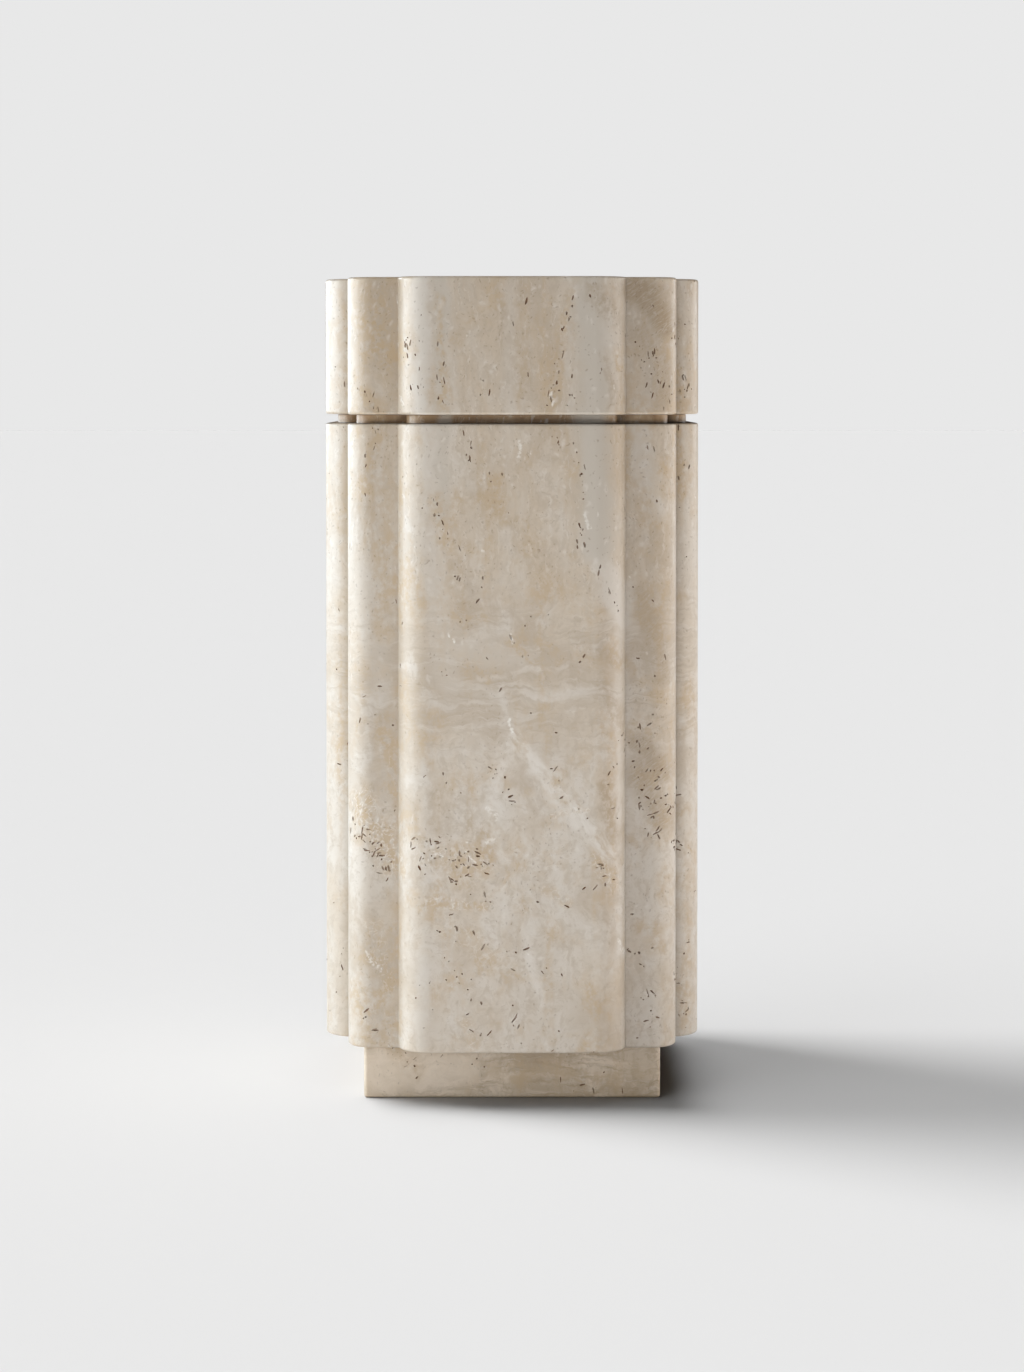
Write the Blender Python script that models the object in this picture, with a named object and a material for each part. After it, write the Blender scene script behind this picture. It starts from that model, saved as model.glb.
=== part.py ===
# Travertine plinth: a square foot, a tall shaft with stepped and rounded corners,
# a thin set-back neck that leaves a shadow gap, and a cap on the shaft's own outline.
#
# Units are metres, +Z is up, and the origin is the middle of the foot's underside.
# The stepped outline is the same seen from all four sides. Going round one corner it has
# a front face, an outer round, a mid face, a mid round, a mid face, an outer round and a side face.

import math

import bmesh
import bpy

# Stepped outline of the shaft and the cap, across flats
WIDTH = 0.300
MID_WIDTH = 0.260
FACE_WIDTH = 0.180

# Radii in plan: OUTER_ROUND is at both ends of each outer face, MID_ROUND on the diagonals
OUTER_ROUND = 0.025
MID_ROUND = 0.020

# Heights of the stones, and of the shadow gap between the shaft and the cap
FOOT_HEIGHT = 0.042
SHAFT_HEIGHT = 0.4927
GAP_HEIGHT = 0.007
CAP_HEIGHT = 0.108

# How far the neck lies behind the outer faces and behind the stepped ones
NECK_SETBACK = 0.010
NECK_STEP_SETBACK = 0.007

# Square foot
FOOT_WIDTH = 0.235
FOOT_ROUND = 0.003

# Small round on every level edge of the three large stones; the neck's sawn edges are left sharp
ARRIS = 0.002

# Bed joint between one stone and the next
JOINT = 0.0003

# Fineness of the rounds
ROUND_SEGMENTS = 12
FOOT_ROUND_SEGMENTS = 3
ARRIS_SEGMENTS = 3

# Colour, roughness and metallic value of honed travertine
STONE_COLOUR = (0.60, 0.50, 0.39, 1.0)
FOOT_COLOUR = (0.52, 0.42, 0.31, 1.0)
STONE_ROUGHNESS = 0.45


def clear_scene():
    for old in list(bpy.data.objects):
        bpy.data.objects.remove(old)


def stone_material(name, colour):
    material = bpy.data.materials.new(name)
    material.use_nodes = True
    shader = material.node_tree.nodes["Principled BSDF"]
    shader.inputs["Base Color"].default_value = colour
    shader.inputs["Roughness"].default_value = STONE_ROUGHNESS
    shader.inputs["Metallic"].default_value = 0.0
    return material


def arc(centre, radius, start, end, segments):
    """Points of an arc about centre, from the angle start to the angle end, both ends included."""
    angles = [start + (end - start) * i / segments for i in range(segments + 1)]
    return [(centre[0] + radius * math.cos(t), centre[1] + radius * math.sin(t)) for t in angles]


def turned(points, quarter_turns):
    """The points turned about the origin by that many quarter turns."""
    for _ in range(quarter_turns):
        points = [(-y, x) for x, y in points]
    return points


def stepped_corner(width, mid_width, face_width, outer_round, mid_round):
    """The corner between the front and the right side, from the front face to the side face."""
    half, half_mid, half_face = width / 2, mid_width / 2, face_width / 2
    step = half - half_mid
    # An outer round deeper than its step is cut short where it meets the mid face.
    meets = math.asin(min(0.0, (step - outer_round) / outer_round))
    front = arc(
        (half_face - outer_round, outer_round - half), outer_round, -math.pi / 2, meets, ROUND_SEGMENTS
    )
    if step > outer_round:
        front.append((half_face, -half_mid))
    middle = arc(
        (half_mid - mid_round, mid_round - half_mid), mid_round, -math.pi / 2, 0.0, ROUND_SEGMENTS
    )
    # The far half of the corner mirrors the near one across the diagonal.
    side = [(-y, -x) for x, y in reversed(front)]
    return front + middle + side


def stepped_outline(width, mid_width, face_width, outer_round, mid_round):
    corner = stepped_corner(width, mid_width, face_width, outer_round, mid_round)
    return [point for turn in range(4) for point in turned(corner, turn)]


def square_outline(width, corner_round):
    inner = width / 2 - corner_round
    corner = arc((inner, -inner), corner_round, -math.pi / 2, 0.0, FOOT_ROUND_SEGMENTS)
    return [point for turn in range(4) for point in turned(corner, turn)]


def rounded_rims(shape, width):
    rims = [edge for edge in shape.edges if edge.verts[0].co.z == edge.verts[1].co.z]
    bmesh.ops.bevel(
        shape,
        geom=rims,
        offset=width,
        segments=ARRIS_SEGMENTS,
        profile=0.5,
        affect="EDGES",
        clamp_overlap=False,
    )


def stone(name, outline, bottom, height, material, arris=0.0):
    """One block: the outline drawn up from its bottom, with a small round along both rims."""
    shape = bmesh.new()
    base = shape.faces.new([shape.verts.new((x, y, 0.0)) for x, y in outline])
    risen = bmesh.ops.extrude_face_region(shape, geom=[base])["geom"]
    top = [item for item in risen if isinstance(item, bmesh.types.BMVert)]
    bmesh.ops.translate(shape, verts=top, vec=(0.0, 0.0, height))
    bmesh.ops.recalc_face_normals(shape, faces=shape.faces)
    if arris:
        rounded_rims(shape, arris)
    mesh = bpy.data.meshes.new(name)
    shape.to_mesh(mesh)
    shape.free()
    mesh.shade_smooth()
    mesh.set_sharp_from_angle(angle=math.radians(40))
    mesh.materials.append(material)
    block = bpy.data.objects.new(name, mesh)
    block.location.z = bottom
    bpy.context.scene.collection.objects.link(block)
    return block


def main():
    clear_scene()
    stone_finish = stone_material("travertine", STONE_COLOUR)
    foot_finish = stone_material("travertine_foot", FOOT_COLOUR)

    shaft_bottom = FOOT_HEIGHT + JOINT
    shaft_top = shaft_bottom + SHAFT_HEIGHT
    cap_bottom = shaft_top + GAP_HEIGHT

    body_outline = stepped_outline(WIDTH, MID_WIDTH, FACE_WIDTH, OUTER_ROUND, MID_ROUND)
    neck_outline = stepped_outline(
        WIDTH - 2 * NECK_SETBACK,
        MID_WIDTH - 2 * NECK_STEP_SETBACK,
        FACE_WIDTH - 2 * NECK_STEP_SETBACK,
        OUTER_ROUND - NECK_SETBACK,
        MID_ROUND - NECK_STEP_SETBACK,
    )

    stone("foot", square_outline(FOOT_WIDTH, FOOT_ROUND), 0.0, FOOT_HEIGHT, foot_finish, ARRIS)
    stone("shaft", body_outline, shaft_bottom, SHAFT_HEIGHT, stone_finish, ARRIS)
    stone("neck", neck_outline, shaft_top + JOINT, GAP_HEIGHT - 2 * JOINT, stone_finish)
    stone("cap", body_outline, cap_bottom, CAP_HEIGHT, stone_finish, ARRIS)


main()
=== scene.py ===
import math

import bpy
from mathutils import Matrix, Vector


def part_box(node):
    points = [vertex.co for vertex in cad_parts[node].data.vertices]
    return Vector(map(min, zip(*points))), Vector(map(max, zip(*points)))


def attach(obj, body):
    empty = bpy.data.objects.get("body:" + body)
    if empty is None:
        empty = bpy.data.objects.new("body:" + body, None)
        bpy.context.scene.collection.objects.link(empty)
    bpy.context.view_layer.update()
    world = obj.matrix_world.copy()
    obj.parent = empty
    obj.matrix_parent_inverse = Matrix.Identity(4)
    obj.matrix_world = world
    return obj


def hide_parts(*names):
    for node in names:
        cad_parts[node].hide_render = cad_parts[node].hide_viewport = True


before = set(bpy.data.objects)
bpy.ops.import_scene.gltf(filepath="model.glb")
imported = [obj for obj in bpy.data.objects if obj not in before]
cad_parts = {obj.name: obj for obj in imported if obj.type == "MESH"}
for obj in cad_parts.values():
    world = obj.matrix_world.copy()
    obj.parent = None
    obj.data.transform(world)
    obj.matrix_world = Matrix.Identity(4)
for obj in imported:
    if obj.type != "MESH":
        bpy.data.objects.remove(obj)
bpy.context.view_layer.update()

mm = 0.001


def linear(hexColour):
    # sRGB hex to the linear colour that a socket takes
    channels = [int(hexColour[i:i + 2], 16) / 255 for i in (1, 3, 5)]
    return tuple(c / 12.92 if c <= 0.04045 else ((c + 0.055) / 1.055) ** 2.4 for c in channels) + (1.0,)


def addNode(tree, kind, settings=None, inputs=None, output=0):
    # an input is a value, another node's output, or a list of outputs to join
    made = tree.nodes.new(kind)
    for name, value in (settings or {}).items():
        setattr(made, name, value)
    for key, value in (inputs or {}).items():
        for entry in value if isinstance(value, list) else [value]:
            if isinstance(entry, bpy.types.NodeSocket):
                tree.links.new(entry, made.inputs[key])
            else:
                made.inputs[key].default_value = entry
    return made.outputs[output] if made.outputs else made


def newTree(name, sockets):
    # a geometry tree with one geometry in and out, and its named inputs
    tree = bpy.data.node_groups.new(name, "GeometryNodeTree")
    tree.interface.new_socket("Geometry", in_out="OUTPUT", socket_type="NodeSocketGeometry")
    tree.interface.new_socket("Geometry", in_out="INPUT", socket_type="NodeSocketGeometry")
    for label, kind in sockets.items():
        tree.interface.new_socket(label, in_out="INPUT", socket_type="NodeSocket" + kind)
    return tree, tree.nodes.new("NodeGroupInput").outputs


def addTree(piece, tree, values):
    modifier = piece.modifiers.new(tree.name, "NODES")
    modifier.node_group = tree
    for item in tree.interface.items_tree:
        if item.in_out == "INPUT" and item.name in values:
            modifier[item.identifier] = values[item.name]


# Camera: a long lens, nearly level, a little lower than the plinth's top

camera = {
    "lens": 79.4,
    "sensor": 36,
    "distance": 2.505,
    "height": 0.561,
    "tiltDown": math.radians(1.44),
    "shift": -0.16,  # keeps the uprights parallel while the plinth stands in the middle
}


def makeCamera():
    data = bpy.data.cameras.new("camera")
    data.lens = camera["lens"]
    data.sensor_width = camera["sensor"]
    data.shift_y = camera["shift"]
    made = bpy.data.objects.new("camera", data)
    made.location = (0, -camera["distance"], camera["height"])
    made.rotation_euler = (math.pi / 2 - camera["tiltDown"], 0, 0)
    bpy.context.scene.collection.objects.link(made)
    bpy.context.scene.camera = made


# Studio: an even pale backdrop, with soft boxes far away and a few lamps near the stone

studio = {"room": 0.807, "floorSize": 80}  # the backdrop's linear brightness, sRGB 232, and metres

# some light the floor alone and give the shadow its shape, some light the stone alone, and the sheen
# comes from broad level ones that only gloss reflects
softBoxes = {
    # degrees round from the camera towards the left, degrees up, degrees across, strength, what it lights
    "overhead": (0, 90, 34, 0.30, "all"),
    "floorLeft": (110, 42, 30, 2.82, "floor"),
    "floorFront": (60, 42, 50, 0.56, "floor"),
    "floorBehind": (150, 33, 34, 2.35, "pastFoot"),
    "top": (0, 90, 16, 1.05, "stone"),
    "left": (90, 12, 40, 2.5, "stone"),
    "sheenFront": (60, 3, 40, 1.1, "sheen"),
    "sheenLeft": (90, 3, 40, 3.4, "sheen"),
    "sheenBehind": (130, 3, 40, 3.0, "sheen"),
    "sheenRight": (-120, 3, 40, 1.2, "sheen"),
}

# these light the stone alone, and most of them stand low, so it is brighter towards its foot
nearLamps = {
    # place in metres, watts
    "front": ((-0.05, -0.9, 0.0), 3.05),
    "frontHigh": ((0.0, -0.9, 0.78), 0.5),
    "frontLeft": ((-0.9, -0.5, 0.1), 5.3),
    "frontRight": ((0.9, -0.5, 0.1), 1.5),
    "right": ((1.0, -0.1, 0.2), 4.8),
    "back": ((0.3, 1.0, 0.25), 5.0),
}
lampSize = 0.5  # metres
lampAim = Vector((0, 0, 0.25))
onFloor = ("all", "floor", "pastFoot")  # "pastFoot" lights the floor, and the foot alone shades it
daylight = (0.86, 0.97, 1.06)  # the cooler light from the left
daylit = ("left", "sheenLeft", "sheenBehind", "frontLeft")


def addLamp(name, data, towards, receivers=None):
    # a lamp that shines back along the direction towards it
    lamp = bpy.data.objects.new(name, data)
    lamp.rotation_mode = "QUATERNION"
    lamp.rotation_quaternion = towards.to_track_quat("Z", "Y")
    bpy.context.scene.collection.objects.link(lamp)
    if receivers:
        lamp.light_linking.receiver_collection = receivers
    return lamp


def makeFloor(grey):
    half = studio["floorSize"] / 2
    corners = [(-half, -half, 0), (half, -half, 0), (half, half, 0), (-half, half, 0)]
    mesh = bpy.data.meshes.new("floor")
    mesh.from_pydata(corners, [], [(0, 1, 2, 3)])
    floor = bpy.data.objects.new("floor", mesh)
    bpy.context.scene.collection.objects.link(floor)
    paint = bpy.data.materials.new("paleFloor")
    paint.use_nodes = True
    paint.node_tree.nodes.clear()
    matt = addNode(paint.node_tree, "ShaderNodeBsdfDiffuse", None, {"Color": (grey, grey, grey, 1)})
    addNode(paint.node_tree, "ShaderNodeOutputMaterial", None, {"Surface": matt})
    mesh.materials.append(paint)
    return floor


def makeStudio(stones):
    scene = bpy.context.scene
    scene.view_settings.view_transform = "Standard"
    scene.cycles.use_denoising = True
    scene.cycles.max_bounces = 3
    world = bpy.data.worlds.new("backdrop")
    scene.world = world
    world.use_nodes = True
    world.node_tree.nodes["Background"].inputs["Color"].default_value = (studio["room"],) * 3 + (1.0,)
    world.cycles_visibility.diffuse = False  # the lamps alone light the stone
    world.cycles_visibility.glossy = False

    # the floor's grey makes it as bright as the backdrop where nothing shades it, so no horizon shows
    lit = sum(
        strength * math.sin(math.radians(rise)) / math.pi
        for turn, rise, across, strength, lights in softBoxes.values() if lights in onFloor
    )
    receivers = {"all": None}
    members = {"floor": [makeFloor(studio["room"] / lit)], "stone": stones, "foot": stones[:1]}
    for kind, pieces in members.items():
        receivers[kind] = bpy.data.collections.new(kind + "Only")
        for piece in pieces:
            receivers[kind].objects.link(piece)
    receivers["sheen"] = receivers["stone"]
    receivers["pastFoot"] = receivers["floor"]

    for name, (turn, rise, across, strength, lights) in softBoxes.items():
        data = bpy.data.lights.new(name, "SUN")
        data.energy = strength
        data.angle = math.radians(across)
        turn, rise = math.radians(turn), math.radians(rise)
        level = math.cos(rise)
        towards = Vector((-math.sin(turn) * level, -math.cos(turn) * level, math.sin(rise)))
        if name in daylit:
            data.color = daylight
        if lights in onFloor:
            data.cycles.max_bounces = 1  # keeps the floor dark and grey close under the stone
        lamp = addLamp(name, data, towards, receivers[lights])
        if lights == "pastFoot":
            lamp.light_linking.blocker_collection = receivers["foot"]
        lamp.visible_diffuse = lights != "sheen"
        lamp.visible_glossy = lights in ("all", "sheen")
    for name, (place, watts) in nearLamps.items():
        data = bpy.data.lights.new(name + "Near", "AREA")
        data.size = lampSize
        data.energy = watts
        if name in daylit:
            data.color = daylight
        else:
            data.cycles.max_bounces = 0  # so that the lit stone throws no brown glow on the floor
        lamp = addLamp(name + "Near", data, Vector(place) - lampAim, receivers["stone"])
        lamp.location = place
        lamp.visible_camera = False
        lamp.visible_glossy = False


# Blocks: a stepped outline for the shaft, neck and cap, a square one for the foot, drawn up in rows

body = {"Mid Width": 260 * mm, "Face Width": 180 * mm, "Outer Round": 25 * mm, "Mid Round": 20 * mm}
neckInset = {"outer": 10 * mm, "step": 7 * mm}  # how far the neck lies behind the outer and stepped faces
footRound = {"Corner Round": 3 * mm, "Round Segments": 6}
arris = {"width": 2 * mm, "segments": 4}  # the small round on every level edge
fineness = {"roundSegments": 24, "rowHeight": 10 * mm}
crease = math.radians(30)  # an edge that bends more is left sharp
hair = 0.01 * mm  # closer than this counts as level with the rim


def steppedOutline():
    # three arcs make a corner, four turned copies the outline, joined in order of the angle about the middle
    sizes = ["Width", "Mid Width", "Face Width", "Outer Round", "Mid Round"]
    tree, inputs = newTree("steppedOutline", {**{size: "Float" for size in sizes}, "Round Segments": "Int"})
    size = {name: inputs[name] for name in sizes + ["Round Segments"]}
    size["index"] = addNode(tree, "GeometryNodeInputIndex")
    workings = {
        "half": ("MULTIPLY", "Width", 0.5),
        "mid": ("MULTIPLY", "Mid Width", 0.5),
        "face": ("MULTIPLY", "Face Width", 0.5),
        "points": ("ADD", "Round Segments", 1),
        # the outer round is deeper than its step, so it ends where it meets the mid face
        "step": ("SUBTRACT", "half", "mid"),
        "missing": ("SUBTRACT", "step", "Outer Round"),
        "sine": ("DIVIDE", "missing", "Outer Round"),
        "meets": ("ARCSINE", "sine"),
        "outerTurn": ("ADD", "meets", math.pi / 2),
        "outerStart": ("SUBTRACT", -math.pi / 2, "meets"),
        # the arcs' centres, right of the middle and in front of it
        "near": ("SUBTRACT", "face", "Outer Round"),
        "far": ("SUBTRACT", "half", "Outer Round"),
        "inner": ("SUBTRACT", "mid", "Mid Round"),
        "nearFront": ("MULTIPLY", "near", -1.0),
        "farFront": ("MULTIPLY", "far", -1.0),
        "innerFront": ("MULTIPLY", "inner", -1.0),
        "quarter": ("MULTIPLY", "index", math.pi / 2),
    }
    for name, (operation, *terms) in workings.items():
        terms = {place: size.get(term, term) for place, term in enumerate(terms)}
        size[name] = addNode(tree, "ShaderNodeMath", {"operation": operation}, terms)

    arcs = []
    for radius, start, turn, x, y in [
        ("Outer Round", -math.pi / 2, "outerTurn", "near", "farFront"),
        ("Mid Round", -math.pi / 2, math.pi / 2, "inner", "innerFront"),
        ("Outer Round", "outerStart", "outerTurn", "far", "nearFront"),
    ]:
        bend = {
            "Resolution": size["points"],
            "Radius": size[radius],
            "Start Angle": size.get(start, start),
            "Sweep Angle": size.get(turn, turn),
        }
        arc = addNode(tree, "GeometryNodeCurveArc", {"mode": "RADIUS"}, bend)
        centre = addNode(tree, "ShaderNodeCombineXYZ", None, {"X": size[x], "Y": size[y]})
        arcs.append(addNode(tree, "GeometryNodeTransform", None, {"Geometry": arc, "Translation": centre}))
    corner = addNode(tree, "GeometryNodeJoinGeometry", None, {"Geometry": arcs})
    quarters = {"Axis": (0, 0, 1), "Angle": size["quarter"]}
    turned = addNode(tree, "FunctionNodeAxisAngleToRotation", None, quarters)
    four = addNode(tree, "GeometryNodePoints", None, {"Count": 4})
    copies = {"Points": four, "Instance": corner, "Rotation": turned}
    corners = addNode(tree, "GeometryNodeInstanceOnPoints", None, copies)
    real = addNode(tree, "GeometryNodeRealizeInstances", None, {"Geometry": corners})
    loose = addNode(tree, "GeometryNodeCurveToPoints", {"mode": "EVALUATED"}, {"Curve": real})
    place = addNode(tree, "ShaderNodeSeparateXYZ", None, {0: addNode(tree, "GeometryNodeInputPosition")})
    bearing = {0: place.node.outputs["Y"], 1: place.node.outputs["X"]}
    about = addNode(tree, "ShaderNodeMath", {"operation": "ARCTAN2"}, bearing)
    outline = addNode(tree, "GeometryNodePointsToCurves", None, {"Points": loose, "Weight": about})
    closed = addNode(tree, "GeometryNodeSetSplineCyclic", None, {"Geometry": outline, "Cyclic": True})
    addNode(tree, "NodeGroupOutput", None, {"Geometry": closed})
    return tree


def squareOutline():
    sizes = {"Width": "Float", "Corner Round": "Float", "Round Segments": "Int"}
    tree, inputs = newTree("squareOutline", sizes)
    flat = {"Width": inputs["Width"], "Height": inputs["Width"]}
    square = addNode(tree, "GeometryNodeCurvePrimitiveQuadrilateral", None, flat)
    eased = {"Curve": square, "Count": inputs["Round Segments"], "Radius": inputs["Corner Round"]}
    outline = addNode(tree, "GeometryNodeFilletCurve", {"mode": "POLY"}, eased)
    addNode(tree, "NodeGroupOutput", None, {"Geometry": outline})
    return tree


def raisedBlock():
    # draws the outline up in rows and marks its level rims, where the Bevel modifier makes the arris
    tree, inputs = newTree("raisedBlock", {"Bottom": "Float", "Top": "Float", "Row Height": "Float"})
    ends = {
        "Start": addNode(tree, "ShaderNodeCombineXYZ", None, {"Z": inputs["Bottom"]}),
        "End": addNode(tree, "ShaderNodeCombineXYZ", None, {"Z": inputs["Top"]}),
    }
    upright = addNode(tree, "GeometryNodeCurvePrimitiveLine", None, ends)
    spaced = {"Curve": upright, "Length": inputs["Row Height"]}
    rows = addNode(tree, "GeometryNodeResampleCurve", {"mode": "LENGTH"}, spaced)
    swept = {"Curve": rows, "Profile Curve": inputs["Geometry"], "Fill Caps": True}
    block = addNode(tree, "GeometryNodeCurveToMesh", None, swept)
    place = addNode(tree, "GeometryNodeInputPosition")
    height = addNode(tree, "ShaderNodeSeparateXYZ", None, {0: place}, "Z")
    atRim = []
    for limit in ("Bottom", "Top"):
        near = {"A": height, "B": inputs[limit], "Epsilon": hair}
        atRim.append(addNode(tree, "FunctionNodeCompare", {"operation": "EQUAL"}, near))
    rim = addNode(tree, "FunctionNodeBooleanMath", {"operation": "OR"}, {0: atRim[0], 1: atRim[1]})
    onEdges = {"data_type": "FLOAT", "domain": "EDGE"}
    weight = {"Geometry": block, "Name": "bevel_weight_edge", "Value": rim}
    marked = addNode(tree, "GeometryNodeStoreNamedAttribute", onEdges, weight)
    addNode(tree, "NodeGroupOutput", None, {"Geometry": marked})
    return tree


# Patterns that the pits and the colours share

def pattern(tree, place, size, low, high, detail=3.0, rough=0.5, bend=0.0, top=1.0):
    # soft patches of about size mm along x, y and z: 0 where the noise is under low, top where over high
    stretch = tuple(1 / (side * mm) for side in size)
    if tree.type == "SHADER":
        stretched = addNode(tree, "ShaderNodeMapping", None, {"Vector": place, "Scale": stretch})
    else:
        stretched = addNode(tree, "ShaderNodeVectorMath", {"operation": "MULTIPLY"}, {0: place, 1: stretch})
    grain = {"Vector": stretched, "Scale": 1.0, "Detail": detail, "Roughness": rough, "Distortion": bend}
    value = addNode(tree, "ShaderNodeTexNoise", None, grain)
    edges = {"Value": value, "From Min": low, "From Max": high, "To Max": top}
    return addNode(tree, "ShaderNodeMapRange", {"interpolation_type": "SMOOTHSTEP"}, edges)


frontDepth = {"From Min": -60 * mm, "From Max": -80 * mm}  # the front's own marks fade out behind it
sidesDepth = {"From Min": -100 * mm, "From Max": -60 * mm}  # and the other sides' pores fade in
lineCore = 0.2  # the share of a line's half width that is at full strength


def nearLines(tree, place, lines):
    # how near a place on the front is to any line: its two ends as x and height, half width (mm), amount
    flat = addNode(tree, "ShaderNodeVectorMath", {"operation": "MULTIPLY"}, {0: place, 1: (1, 0, 1)})
    nearest = 0.0
    for x1, z1, x2, z2, halfWidth, amount in lines:
        start, end = Vector((x1, 0, z1)) * mm, Vector((x2, 0, z2)) * mm
        run = end - start
        local = addNode(tree, "ShaderNodeVectorMath", {"operation": "SUBTRACT"}, {0: flat, 1: start})
        along = {0: local, 1: run / run.length_squared}
        share = addNode(tree, "ShaderNodeVectorMath", {"operation": "DOT_PRODUCT"}, along, "Value")
        onLine = addNode(tree, "ShaderNodeMix", {"data_type": "VECTOR"}, {0: share, 4: start, 5: end}, 1)
        apart = {0: flat, 1: onLine}
        away = addNode(tree, "ShaderNodeVectorMath", {"operation": "DISTANCE"}, apart, "Value")
        edges = {"Value": away, "From Min": halfWidth * mm, "From Max": lineCore * halfWidth * mm}
        edges["To Max"] = amount
        mask = addNode(tree, "ShaderNodeMapRange", {"interpolation_type": "SMOOTHSTEP"}, edges)
        nearest = addNode(tree, "ShaderNodeMath", {"operation": "MAXIMUM"}, {0: mask, 1: nearest})
    depth = addNode(tree, "ShaderNodeSeparateXYZ", None, {0: place}, "Y")
    limits = {"Value": depth, **frontDepth}
    front = addNode(tree, "ShaderNodeMapRange", {"interpolation_type": "SMOOTHSTEP"}, limits)
    return addNode(tree, "ShaderNodeMath", {"operation": "MULTIPLY"}, {0: nearest, 1: front})


# Open pores: pits cut into every face, drawn out along the grain and crowded along the veins

chainSize, clusterSize = (15, 30, 170), (38, 38, 30)  # mm; the stains follow the same patterns

pores = {
    "Spacing": 1.5 * mm,  # least distance between two pores
    "Most": 70000.0,  # pores per square metre where they are thickest
    "Shortest": 1.0 * mm,
    "Longest": 6.5 * mm,
    "Width": 1.1 * mm,
    "Depth": 1.4 * mm,
    "Raggedness": 1.2 * mm,
    "Seed": 7,
}

pitForm = {
    "lean": {"From Min": 430 * mm, "From Max": 330 * mm, "To Min": 0.35, "To Max": 1.7},  # most, by height
    "shorter": 2.3,  # a higher power makes more of them short
    "girth": (0.7, 1.5),  # times the width and the depth
    "dark": (0.3, 1.0),  # share of the brown inside
    "grain": 1.3 * mm,  # size of the bumps that make the pits ragged
}

poreLines = [
    # cap: upright chains
    (-58, 622, -54, 550, 4.5, 0.5), (46, 632, 38, 592, 5, 0.55), (38, 592, 29, 545, 5, 0.75),
    (48, 572, 44, 545, 4.5, 0.6), (-75, 645, -72, 552, 5, 0.2), (-24, 577, -18, 550, 5, 0.3),
    (-82, 600, -78, 560, 6, 0.2), (10, 640, 16, 560, 16, 0.05), (70, 600, 60, 550, 9, 0.12),
    # top of the shaft: two chains that lean to the right, and loose ones on the left
    (29, 535, 40, 512, 4.5, 0.8), (52, 516, 58, 470, 4, 0.8), (57, 490, 53, 438, 4.5, 0.9),
    (66, 425, 84, 385, 4, 0.6), (-60, 474, -52, 446, 6, 1.0), (-40, 532, -32, 505, 6, 0.5),
    (-75, 505, -72, 470, 6, 0.25), (-50, 430, -20, 398, 17, 0.2), (-52, 384, -28, 378, 5, 0.4),
    (-15, 505, -5, 470, 10, 0.12), (88, 500, 88, 440, 3, 0.4),
    # middle of the shaft
    (0, 362, 12, 354, 5, 0.8), (-20, 268, 8, 232, 8, 0.35), (28, 268, 58, 225, 7, 0.25),
    (-60, 262, -25, 244, 12, 0.12), (74, 290, 84, 225, 7, 0.2),
    # bottom of the shaft
    (-66, 200, -24, 190, 17, 0.75), (-44, 180, -25, 162, 9, 0.5), (66, 194, 78, 178, 8, 0.9),
    (-55, 140, -8, 122, 17, 0.3), (-42, 108, -32, 60, 15, 0.28), (20, 118, 32, 95, 6, 0.5),
    (-2, 78, 8, 60, 6, 0.4), (-60, 95, -10, 60, 26, 0.08), (20, 170, 60, 130, 16, 0.06),
    # stepped faces at the left and at the right
    (-118, 560, -106, 545, 8, 0.7), (-104, 532, -116, 505, 6, 0.5), (-120, 214, -98, 184, 12, 1.0),
    (-116, 70, -108, 58, 6, 0.5), (-138, 600, -136, 560, 8, 0.2), (-138, 110, -136, 70, 6, 0.4),
    (95, 290, 122, 236, 16, 0.7), (100, 600, 120, 552, 14, 0.35), (130, 203, 136, 190, 7, 1.0),
    (108, 520, 108, 300, 14, 0.05),
    (130, 104, 138, 62, 6, 0.7), (130, 612, 140, 545, 8, 0.5), (100, 240, 112, 210, 9, 0.7),
    (132, 540, 136, 480, 6, 0.4), (98, 120, 112, 60, 10, 0.25),
    # foot
    (-94, 39, -80, 27, 8, 1.0), (-30, 30, -22, 20, 6, 0.35), (40, 12, 62, 6, 8, 0.5),
    (-70, 34, 90, 14, 14, 0.06),
]


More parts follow.
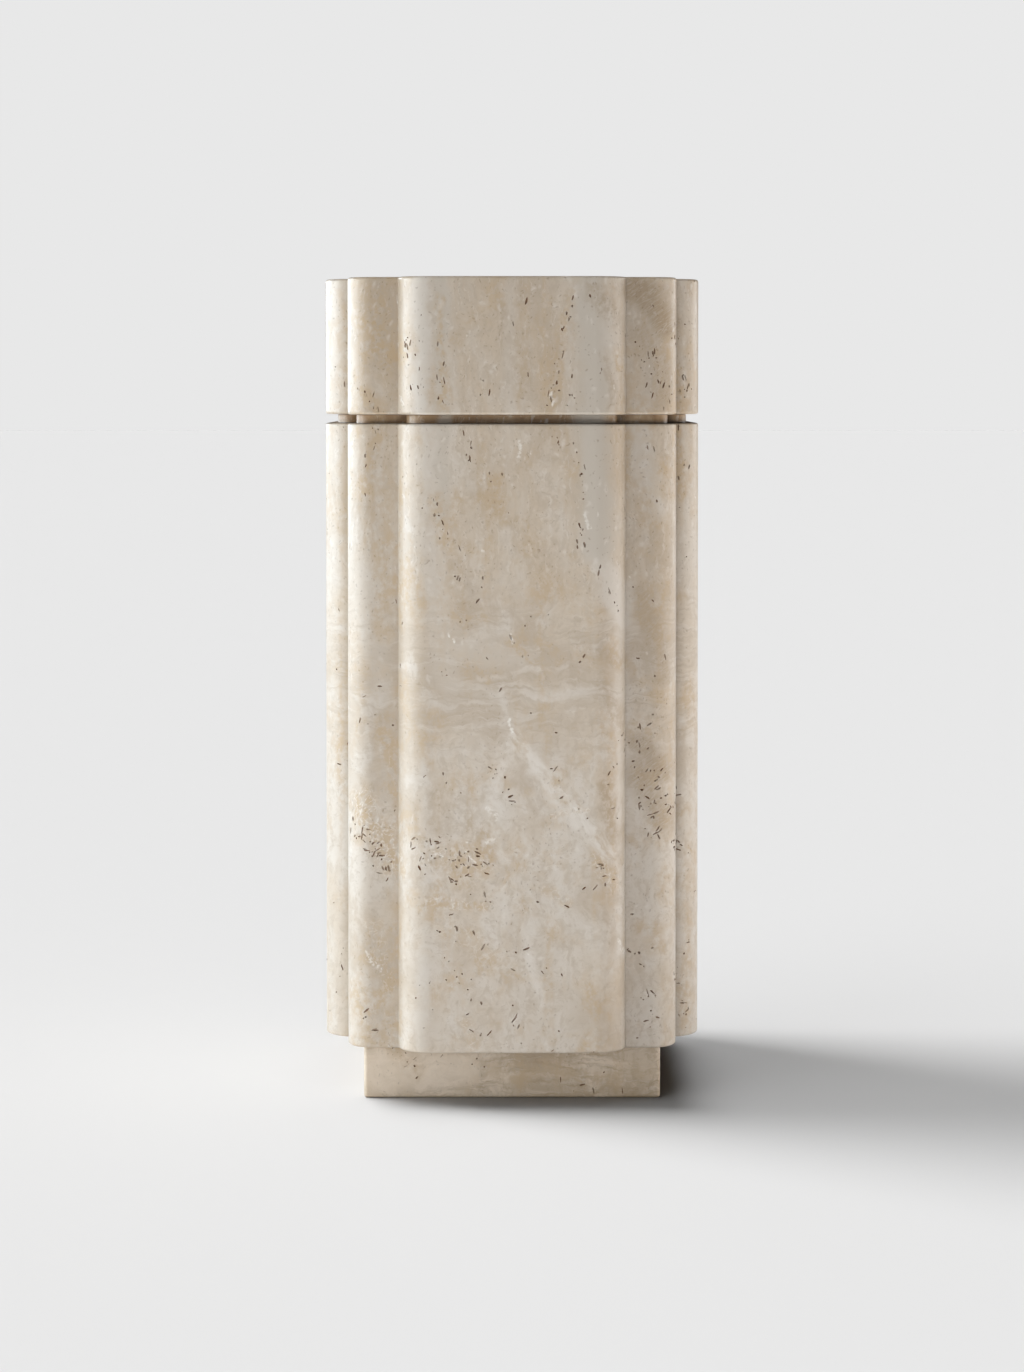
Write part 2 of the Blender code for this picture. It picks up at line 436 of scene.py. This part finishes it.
def openPores():
    sizes = {key: "Float" for key in pores if key != "Seed"}
    tree, inputs = newTree("openPores", {**sizes, "Seed": "Int", "Stone": "Material"})
    place = addNode(tree, "GeometryNodeInputPosition")
    depth = addNode(tree, "ShaderNodeSeparateXYZ", None, {0: place}, "Y")
    elsewhere = addNode(tree, "ShaderNodeMapRange", None, {"Value": depth, **sidesDepth})
    upright = pattern(tree, place, chainSize, 0.58, 0.76, detail=3, top=0.35)
    clouds = pattern(tree, place, clusterSize, 0.60, 0.82, top=0.9)
    thick = addNode(tree, "ShaderNodeMath", {"operation": "MAXIMUM"}, {0: upright, 1: clouds})
    away = addNode(tree, "ShaderNodeMath", {"operation": "MULTIPLY"}, {0: thick, 1: elsewhere})
    broken = pattern(tree, place, (8, 8, 8), 0.30, 0.58)  # leaves gaps along each chain
    chosen = nearLines(tree, place, poreLines)
    chains = addNode(tree, "ShaderNodeMath", {"operation": "MULTIPLY"}, {0: chosen, 1: broken})
    few = pattern(tree, place, (60, 60, 90), 0.35, 0.7, detail=1, top=0.016)
    nearer = addNode(tree, "ShaderNodeMath", {"operation": "MAXIMUM"}, {0: chains, 1: few})
    density = addNode(tree, "ShaderNodeMath", {"operation": "MAXIMUM"}, {0: nearer, 1: away})
    spread = {
        "Mesh": inputs["Geometry"],
        "Distance Min": inputs["Spacing"],
        "Density Max": inputs["Most"],
        "Seed": inputs["Seed"],
    }
    evenly = {"distribute_method": "POISSON"}
    everywhere = addNode(tree, "GeometryNodeDistributePointsOnFaces", evenly, spread)
    chance = addNode(tree, "FunctionNodeRandomValue", None, {2: 0.0, 3: 1.0, "Seed": 17}, 1)
    spare = addNode(tree, "ShaderNodeMath", {"operation": "GREATER_THAN"}, {0: chance, 1: density})
    thinned = {"Geometry": everywhere, "Selection": spare}
    points = addNode(tree, "GeometryNodeDeleteGeometry", {"domain": "POINT"}, thinned)

    # a pit's long axis leans from the upright, more so low down, by an angle that changes slowly
    facing = {"Primary Axis": everywhere.node.outputs["Normal"], "Secondary Axis": (0, 0, 1)}
    axes = {"primary_axis": "Z", "secondary_axis": "Y"}
    along = addNode(tree, "FunctionNodeAxesToRotation", axes, facing)
    height = addNode(tree, "ShaderNodeSeparateXYZ", None, {0: place}, "Z")
    byHeight = {"Value": height, **pitForm["lean"]}
    most = addNode(tree, "ShaderNodeMapRange", {"interpolation_type": "SMOOTHSTEP"}, byHeight)
    swing = addNode(tree, "FunctionNodeRandomValue", None, {2: -1.0, 3: 1.0, "Seed": 5}, 1)
    lean = addNode(tree, "ShaderNodeMath", {"operation": "MULTIPLY"}, {0: most, 1: swing})
    leaning = addNode(tree, "FunctionNodeAxisAngleToRotation", None, {"Axis": (0, 0, 1), "Angle": lean})
    turning = {"Rotation": along, "Rotate By": leaning}
    turned = addNode(tree, "FunctionNodeRotateRotation", {"rotation_space": "LOCAL"}, turning)

    draw = addNode(tree, "FunctionNodeRandomValue", None, {2: 0.0, 3: 1.0, "Seed": 3}, 1)
    skewed = addNode(tree, "ShaderNodeMath", {"operation": "POWER"}, {0: draw, 1: pitForm["shorter"]})
    ends = {"Value": skewed, "To Min": inputs["Shortest"], "To Max": inputs["Longest"]}
    length = addNode(tree, "ShaderNodeMapRange", None, ends)
    slim, fat = pitForm["girth"]
    girth = addNode(tree, "FunctionNodeRandomValue", None, {2: slim, 3: fat, "Seed": 11}, 1)
    width = addNode(tree, "ShaderNodeMath", {"operation": "MULTIPLY"}, {0: girth, 1: inputs["Width"]})
    deep = addNode(tree, "ShaderNodeMath", {"operation": "MULTIPLY"}, {0: girth, 1: inputs["Depth"]})
    scale = addNode(tree, "ShaderNodeCombineXYZ", None, {"X": width, "Y": length, "Z": deep})
    pit = addNode(tree, "GeometryNodeMeshIcoSphere", None, {"Radius": 0.5, "Subdivisions": 2})
    copies = {"Points": points, "Instance": pit, "Rotation": turned, "Scale": scale}
    pits = addNode(tree, "GeometryNodeInstanceOnPoints", None, copies)
    light, full = pitForm["dark"]
    dark = addNode(tree, "FunctionNodeRandomValue", None, {2: light, 3: full, "Seed": 23}, 1)
    onPits = {"data_type": "FLOAT", "domain": "INSTANCE"}
    shade = {"Geometry": pits, "Name": "openPore", "Value": dark}
    shaded = addNode(tree, "GeometryNodeStoreNamedAttribute", onPits, shade)
    real = addNode(tree, "GeometryNodeRealizeInstances", None, {"Geometry": shaded})

    grain = {"Vector": place, "Scale": 1 / pitForm["grain"], "Detail": 1.0}
    rough = addNode(tree, "ShaderNodeTexNoise", None, grain, "Color")
    centred = addNode(tree, "ShaderNodeVectorMath", {"operation": "SUBTRACT"}, {0: rough, 1: (0.5,) * 3})
    reach = {0: centred, "Scale": inputs["Raggedness"]}
    push = addNode(tree, "ShaderNodeVectorMath", {"operation": "SCALE"}, reach)
    ragged = addNode(tree, "GeometryNodeSetPosition", None, {"Geometry": real, "Offset": push})
    drawn = addNode(tree, "GeometryNodeInputNamedAttribute", {"data_type": "FLOAT"}, {"Name": "openPore"})
    mark = {"Geometry": ragged, "Name": "openPore", "Value": drawn}
    marked = addNode(tree, "GeometryNodeStoreNamedAttribute", {"data_type": "FLOAT", "domain": "FACE"}, mark)
    # cut as single solids, because a face between two pits that overlap would fold
    island = addNode(tree, "GeometryNodeInputMeshIsland", output="Island Index")
    single = {0: marked, "Group ID": island}
    apart = addNode(tree, "GeometryNodeSplitToInstances", {"domain": "FACE"}, single, "Instances")
    solids = {"Mesh 1": inputs["Geometry"], "Mesh 2": [apart]}
    cut = addNode(tree, "GeometryNodeMeshBoolean", {"operation": "DIFFERENCE", "solver": "MANIFOLD"}, solids)
    whole = addNode(tree, "GeometryNodeRealizeInstances", None, {"Geometry": cut})

    # planes are shaded flat, or a pit's rim would smear over their wide faces, and the rest smooth;
    # the fourth powers of a normal's parts add up to 1 only where it lies along an axis
    normal = addNode(tree, "GeometryNodeInputNormal")
    squares = addNode(tree, "ShaderNodeVectorMath", {"operation": "MULTIPLY"}, {0: normal, 1: normal})
    twice = {0: squares, 1: squares}
    powers = addNode(tree, "ShaderNodeVectorMath", {"operation": "DOT_PRODUCT"}, twice, "Value")
    curved = addNode(tree, "FunctionNodeCompare", {"operation": "LESS_THAN"}, {"A": powers, "B": 0.9999})
    smooth = addNode(tree, "GeometryNodeSetShadeSmooth", {"domain": "FACE"}, {0: whole, 2: curved})
    bend = addNode(tree, "GeometryNodeInputMeshEdgeAngle")
    steep = addNode(tree, "FunctionNodeCompare", {"operation": "GREATER_THAN"}, {"A": bend, "B": crease})
    crisp = addNode(tree, "GeometryNodeSetShadeSmooth", {"domain": "EDGE"}, {0: smooth, 1: steep, 2: False})
    finish = {"Geometry": crisp, "Material": inputs["Stone"]}
    dressed = addNode(tree, "GeometryNodeSetMaterial", None, finish)
    addNode(tree, "NodeGroupOutput", None, {"Geometry": dressed})
    return tree


# Travertine, sawn across its beds and honed

# to the eye a warm greyish beige with a satin gloss: greyer bands stand upright and turn level half way
# down, with ochre stains round the pores, pale mottles and flecks of calcite
bodyTones = {
    "beige": "#CABBA9",
    "shade": "#B9A894",
    "deep": "#AB9881",
    "grey": "#D2C8BC",
    "ash": "#C3B8AA",
    "ochre": "#BFA686",
    "brown": "#AB967C",
    "pale": "#DBD2C7",
    "calcite": "#EDE8E0",
    "speck": "#80654B",
    "pore": "#765030",
}

# the foot was sawn from a warmer bed; the neck's tones are browner than the cap's and darkened well below
# them, partly its own brown and partly painted shade for the gap
# the foot's grey is lightened too, as it also paints the light on the foot's left end
footTones = {**bodyTones, "beige": "#C9B7A1", "shade": "#AE987C", "deep": "#9C866A", "grey": "#DFCDB8"}
paintedShadeNeckTones = {**bodyTones, "beige": "#9A7751", "shade": "#826242", "grey": "#A68560"}

footShift = (0.11, 0.07, 0.325)  # metres, from the shaft's place in the beds to where the foot was sawn

# lines drawn on the front: veins, stains and calcite, and one patch of painted light on the foot
frontVeinsAndPaintedLight = {
    "grey": [
        (-71, 650, -70, 548, 11, 0.8), (-66, 545, -62, 470, 10, 0.5), (-60, 450, -50, 330, 16, 0.35),
        (74, 620, 70, 560, 9, 0.6), (60, 520, 68, 440, 10, 0.6), (68, 440, 84, 380, 12, 0.8),
        (84, 380, 86, 250, 8, 0.4), (100, 530, 112, 470, 12, 0.5), (-112, 420, -104, 320, 14, 0.4),
        # the broad grey line at the end of the next row lies over the foot's left end: painted light,
        # lightening the end that light from the left falls on
        (-40, 360, 10, 352, 16, 0.4), (-70, 110, -70, 50, 10, 0.5), (-108, 20, -40, 24, 26, 0.7),
    ],
    "ash": [
        (58, 650, 66, 548, 20, 0.95), (62, 548, 68, 440, 20, 0.95), (-56, 650, -54, 460, 9, 0.6),
    ],
    "deep": [
        (60, 640, 80, 620, 12, 0.6), (72, 590, 78, 548, 5, 0.5), (-8, 620, 8, 566, 17, 0.25),
        (-30, 480, 30, 420, 26, 0.2), (70, 330, 86, 300, 11, 0.4), (-45, 425, -30, 385, 12, 0.25),
        (70, 360, 84, 348, 10, 0.5), (-60, 240, -20, 215, 20, 0.35), (72, 250, 82, 215, 10, 0.55),
    ],
    "ochre": [
        (45, 635, 30, 548, 7, 0.5), (-57, 632, -53, 548, 5, 0.7), (-56, 600, -50, 560, 6, 0.5),
        (-60, 478, -52, 442, 9, 0.6), (-48, 386, -22, 382, 6, 0.5), (4, 362, 16, 348, 7, 0.7),
        (-112, 614, -96, 588, 13, 0.9), (-116, 560, -106, 545, 10, 0.7), (-106, 532, -116, 480, 11, 0.7),
        (-105, 440, -104, 370, 12, 0.6), (-102, 295, -94, 268, 9, 0.7), (-118, 238, -95, 190, 18, 0.8),
        (-66, 200, -28, 188, 20, 0.4), (66, 194, 78, 178, 12, 0.7), (-66, 165, -20, 158, 6, 0.7),
        (30, 233, 60, 232, 4, 0.7), (30, 170, 46, 160, 8, 0.5), (-52, 140, -20, 120, 14, 0.35),
        (-110, 140, -100, 95, 11, 0.5), (130, 575, 134, 540, 9, 0.8), (130, 530, 134, 480, 8, 0.8),
        (78, 362, 86, 345, 8, 0.5), (-94, 38, -76, 24, 12, 0.6), (-36, 70, -30, 52, 8, 0.5),
        (-20, 24, 10, 14, 9, 0.5), (30, 26, 80, 12, 10, 0.6), (80, 588, 86, 572, 3, 0.7),
    ],
    "brown": [
        (96, 645, 122, 612, 17, 0.9), (100, 606, 122, 560, 18, 0.4), (100, 400, 118, 340, 14, 0.4),
        (98, 262, 122, 220, 18, 0.6), (98, 285, 120, 262, 14, 0.7),
    ],
    "pale": [
        (2, 290, 38, 246, 10, 0.85), (38, 246, 76, 202, 15, 0.8), (-8, 270, -14, 224, 8, 0.6),
        (4, 292, -12, 258, 9, 0.6),
        (-14, 224, -6, 195, 6, 0.5), (12, 140, 24, 84, 7, 0.5), (56, 150, 70, 105, 10, 0.4),
        (-66, 190, -58, 178, 7, 0.5), (-36, 368, -6, 374, 8, 0.4), (-26, 336, 40, 344, 4, 0.4),
        (-60, 620, -60, 612, 6, 0.4), (14, 322, 62, 330, 5, 0.3), (40, 330, 62, 318, 4, 0.3),
        (82, 190, 84, 120, 5, 0.5), (-70, 260, -66, 200, 6, 0.4),
    ],
    "calcite": [
        (6, 520, 5, 509, 2.0, 0.6), (-1, 372, 0, 365, 2.0, 0.7), (-2, 305, 1, 292, 2.0, 0.7),
        (29, 562, 31, 552, 1.8, 0.7), (-50, 371, -46, 366, 1.6, 0.7), (-16, 234, -12, 224, 2.4, 0.5),
        (-90, 556, -87, 548, 2, 0.5), (57, 466, 60, 452, 1.6, 0.5), (-19, 208, -13, 211, 2, 0.5),
        (-114, 118, -108, 104, 2.4, 0.6), (82, 128, 86, 122, 2.4, 0.6), (-36, 196, -30, 193, 2, 0.6),
        (-60, 200, -56, 196, 2, 0.5), (-40, 206, -34, 204, 1.6, 0.6),
    ],
}


veining = {
    "wander": 30 * mm,  # length of the waves that every band and stain follows
    "stray": 24 * mm,  # how far they may carry it
    "climb": math.radians(38),  # lean of the fibres in the brown stains
    "sink": math.radians(-50),  # lean of the feathered edge on the pale veins
    "grain": 6 * mm,  # size of the stained grains that calcite rims
}

honing = {
    "roughness": (0.31, 0.42),
    "tooth": 1.5,  # mm
    "toothDepth": 0.1 * mm,
    "toothStrength": 0.12,
    "ior": 1.5,  # near calcite's
}


def travertine(name, tones, shift=(0, 0, 0)):
    material = bpy.data.materials.new(name)
    material.use_nodes = True
    tree = material.node_tree
    shader = tree.nodes["Principled BSDF"]
    place = addNode(tree, "ShaderNodeTexCoord", output="Object")

    # everything wanders a few millimetres, so that no band or stain has a straight edge
    wander = {"Vector": place, "Scale": 1 / veining["wander"], "Detail": 4.0, "Roughness": 0.6}
    wave = addNode(tree, "ShaderNodeTexNoise", None, wander, "Color")
    centred = addNode(tree, "ShaderNodeVectorMath", {"operation": "SUBTRACT"}, {0: wave, 1: (0.5,) * 3})
    reach = {0: centred, "Scale": veining["stray"]}
    stray = addNode(tree, "ShaderNodeVectorMath", {"operation": "SCALE"}, reach)
    strayed = addNode(tree, "ShaderNodeVectorMath", {"operation": "ADD"}, {0: place, 1: stray})
    onBlock = addNode(tree, "ShaderNodeMapping", None, {"Vector": strayed})
    inBeds = addNode(tree, "ShaderNodeMapping", None, {"Vector": strayed, "Location": shift})

    # upright beds in the cap and the top of the shaft, level ones below them, both fading low down
    height = addNode(tree, "ShaderNodeSeparateXYZ", None, {0: inBeds}, "Z")
    zones = {}
    for zone, edges in {"high": (365, 430), "low": (310, 240)}.items():
        limits = {"Value": height, "From Min": edges[0] * mm, "From Max": edges[1] * mm}
        zones[zone] = addNode(tree, "ShaderNodeMapRange", {"interpolation_type": "SMOOTHSTEP"}, limits)
    outside = {0: zones["high"], 1: zones["low"]}
    either = addNode(tree, "ShaderNodeMath", {"operation": "MAXIMUM"}, outside)
    zones["middle"] = addNode(tree, "ShaderNodeMath", {"operation": "SUBTRACT"}, {0: 1.0, 1: either})

    crumbs = pattern(tree, place, (6, 6, 7), 0.36, 0.60, detail=5, rough=0.65)
    layers = [
        # tone, strength, size of the patches along x, y and z (mm), noise limits, detail, what limits it
        ("shade", 0.75, (60, 60, 85), (0.40, 0.64), 4, None),
        ("grey", 0.68, (20, 24, 40), (0.50, 0.66), 4, None),
        ("ochre", 0.28, (34, 34, 90), (0.36, 0.62), 3, zones["high"]),
        ("grey", 0.70, (50, 50, 60), (0.34, 0.58), 3, zones["low"]),
        ("shade", 0.55, (7, 7, 12), (0.46, 0.68), 4, None),
        ("deep", 0.45, (3.2, 3.2, 4.2), (0.55, 0.75), 3, None),
        ("grey", 0.45, (22, 44, 260), (0.48, 0.62), 3, zones["high"]),
        ("shade", 0.45, (3, 3, 50), (0.48, 0.74), 3, zones["high"]),
        ("pale", 0.40, (2.6, 2.6, 22), (0.56, 0.72), 2, zones["high"]),
        ("grey", 0.60, (60, 60, 9), (0.50, 0.68), 3, zones["middle"]),
        ("shade", 0.80, (26, 26, 3.0), (0.48, 0.70), 3, zones["middle"]),
        ("pale", 0.30, (18, 18, 2.4), (0.58, 0.74), 2, zones["middle"]),
        ("shade", 0.40, (9, 9, 3.6), (0.52, 0.72), 3, zones["low"]),
        ("ochre", 0.75, (38, 38, 55), (0.52, 0.70), 3, crumbs),
    ]
    masks = []
    for tone, strength, size, (low, high), detail, limit in layers:
        mask = pattern(tree, inBeds, size, low, high, detail=detail, rough=0.6, top=strength)
        masks.append((tone, mask, limit))

    # ochre stains round the chains and clusters of pores, where the pits' own patterns are a little weaker
    for size, low, high, detail in [(chainSize, 0.52, 0.72, 3), (clusterSize, 0.50, 0.72, 3)]:
        masks.append(("ochre", pattern(tree, place, size, low, high, detail=detail, top=0.6), crumbs))

    # the brown stains hold fine pale fibres that climb to the right
    climb = {"Vector": place, "Rotation": (0, veining["climb"], 0)}
    climbing = addNode(tree, "ShaderNodeMapping", None, climb)
    fibres = pattern(tree, climbing, (9, 9, 1.9), 0.42, 0.72, detail=4, rough=0.6, bend=1.2, top=0.45)
    chips = pattern(tree, place, (2.4, 2.4, 2.4), 0.40, 0.60)
    sink = {"Vector": strayed, "Rotation": (0, veining["sink"], 0)}
    sinking = addNode(tree, "ShaderNodeMapping", None, sink)
    feathers = pattern(tree, sinking, (16, 16, 6), 0.30, 0.62, detail=4, rough=0.65)
    marks = {tone: nearLines(tree, onBlock, lines) for tone, lines in frontVeinsAndPaintedLight.items()}

    # low down, broken lines of calcite run between the stained grains
    size = {"Vector": onBlock, "Scale": (1 / veining["grain"],) * 3}
    grains = addNode(tree, "ShaderNodeMapping", None, size)
    walls = {"feature": "DISTANCE_TO_EDGE"}
    edge = addNode(tree, "ShaderNodeTexVoronoi", walls, {"Vector": grains, "Scale": 1.0})
    thin = {"Value": edge, "From Min": 0.10, "From Max": 0.03, "To Max": 0.5}
    lines = addNode(tree, "ShaderNodeMapRange", {"interpolation_type": "SMOOTHSTEP"}, thin)
    broken = addNode(tree, "ShaderNodeMath", {"operation": "MULTIPLY"}, {0: lines, 1: chips})
    rims = addNode(tree, "ShaderNodeMath", {"operation": "MULTIPLY"}, {0: broken, 1: zones["low"]})
    masks += [
        ("grey", marks["grey"], None),
        ("ash", marks["ash"], None),
        ("deep", marks["deep"], crumbs),
        ("brown", marks["brown"], None),
        ("pale", marks["brown"], fibres),
        ("ochre", marks["ochre"], crumbs),
        ("pale", marks["pale"], feathers),
        ("calcite", marks["ochre"], rims),
        ("calcite", marks["calcite"], chips),
    ]

    # dots: blurred pale mottles, flecks of calcite, and pores too small to cut
    crowds = {0: pattern(tree, inBeds, (45, 45, 70), 0.40, 0.62), 1: zones["high"]}
    crowd = addNode(tree, "ShaderNodeMath", {"operation": "MAXIMUM"}, crowds)
    dots = [
        # tone, strength, spacing, radius, blur (mm), share kept, stretch upwards
        ("pale", 0.55, 8.0, 1.4, 1.3, 0.40, 1.5),
        ("calcite", 0.60, 13.0, 0.8, 0.6, 0.25, 1.8),
        ("speck", 0.46, 3.0, 0.50, 0.45, 0.55, 1.5),
    ]
    for tone, strength, spacing, radius, blur, share, stretch in dots:
        squeeze = (1 / (spacing * mm), 1 / (spacing * mm), 1 / (spacing * stretch * mm))
        cells = addNode(tree, "ShaderNodeMapping", None, {"Vector": onBlock, "Scale": squeeze})
        cell = addNode(tree, "ShaderNodeTexVoronoi", None, {"Vector": cells, "Scale": 1.0})
        edges = {
            "Value": cell,
            "From Min": (radius + blur) / spacing,
            "From Max": max(radius - blur, 0) / spacing,
            "To Max": strength,
        }
        dot = addNode(tree, "ShaderNodeMapRange", {"interpolation_type": "SMOOTHSTEP"}, edges)
        drawn = addNode(tree, "ShaderNodeSeparateXYZ", None, {0: cell.node.outputs["Color"]}, "X")
        kept = addNode(tree, "ShaderNodeMath", {"operation": "LESS_THAN"}, {0: drawn, 1: share})
        shown = addNode(tree, "ShaderNodeMath", {"operation": "MULTIPLY"}, {0: dot, 1: kept})
        masks.append((tone, shown, crowd))

    # the open pits are brown inside
    inPit = addNode(tree, "ShaderNodeAttribute", {"attribute_name": "openPore"}, output="Fac")
    masks.append(("pore", inPit, None))

    colour = linear(tones["beige"])
    for tone, mask, limit in masks:
        if limit:
            mask = addNode(tree, "ShaderNodeMath", {"operation": "MULTIPLY"}, {0: mask, 1: limit})
        mixed = {0: mask, 6: colour, 7: linear(tones[tone])}
        colour = addNode(tree, "ShaderNodeMix", {"data_type": "RGBA"}, mixed, 2)
    tree.links.new(colour, shader.inputs["Base Color"])

    # honed, not polished: calcite's gloss broken by a fine tooth, drawn at 1.5 mm to show in the picture
    glossy, dull = honing["roughness"]
    duller = {"Value": crumbs, "To Min": glossy, "To Max": dull}
    tree.links.new(addNode(tree, "ShaderNodeMapRange", None, duller), shader.inputs["Roughness"])
    tooth = pattern(tree, place, (honing["tooth"],) * 3, 0.2, 0.8, detail=1)
    fine = {"Strength": honing["toothStrength"], "Distance": honing["toothDepth"], "Height": tooth}
    tree.links.new(addNode(tree, "ShaderNodeBump", None, fine), shader.inputs["Normal"])
    shader.inputs["IOR"].default_value = honing["ior"]
    return material


def dressedStone(name, outlineTree, sizes, material, eased=True, poreTree=None):
    low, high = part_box(name)
    piece = bpy.data.objects.new(name + "Stone", bpy.data.meshes.new(name + "Stone"))
    bpy.context.scene.collection.objects.link(piece)
    plan = {"Round Segments": fineness["roundSegments"], "Width": high.x - low.x, **sizes}
    addTree(piece, outlineTree, plan)
    addTree(piece, blockTree, {"Bottom": low.z, "Top": high.z, "Row Height": fineness["rowHeight"]})
    if eased:
        bevel = piece.modifiers.new("arris", "BEVEL")
        bevel.width = arris["width"]
        bevel.segments = arris["segments"]
        bevel.limit_method = "WEIGHT"
        bevel.use_clamp_overlap = False
    if poreTree:
        addTree(piece, poreTree, {**pores, "Stone": material})
    evaluated = piece.evaluated_get(bpy.context.evaluated_depsgraph_get())
    mesh = bpy.data.meshes.new_from_object(evaluated)
    piece.modifiers.clear()
    piece.data = mesh
    mesh.materials.clear()
    mesh.materials.append(material)
    if not poreTree:
        mesh.shade_smooth()
        mesh.set_sharp_from_angle(angle=crease)
    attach(piece, "root")
    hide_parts(name)
    mesh.calc_loop_triangles()
    print(name, "made,", len(mesh.loop_triangles), "triangles")
    return piece


makeCamera()
honed = travertine("honedTravertine", bodyTones)
honedFoot = travertine("honedTravertineFoot", footTones, footShift)
# the neck's material carries painted shade: its tones are darkened for the gap
paintedShadeNeck = travertine("travertineNeckPaintedShade", paintedShadeNeckTones)
print("travertine mixed")

steppedTree, squareTree, blockTree, poreTree = steppedOutline(), squareOutline(), raisedBlock(), openPores()
neck = {
    "Mid Width": body["Mid Width"] - 2 * neckInset["step"],
    "Face Width": body["Face Width"] - 2 * neckInset["step"],
    "Outer Round": body["Outer Round"] - neckInset["outer"],
    "Mid Round": body["Mid Round"] - neckInset["step"],
}
stones = [
    dressedStone("foot", squareTree, footRound, honedFoot, poreTree=poreTree),
    dressedStone("shaft", steppedTree, body, honed, poreTree=poreTree),
    dressedStone("neck", steppedTree, neck, paintedShadeNeck, eased=False),
    dressedStone("cap", steppedTree, body, honed, poreTree=poreTree),
]
makeStudio(stones)
print("studio lit")
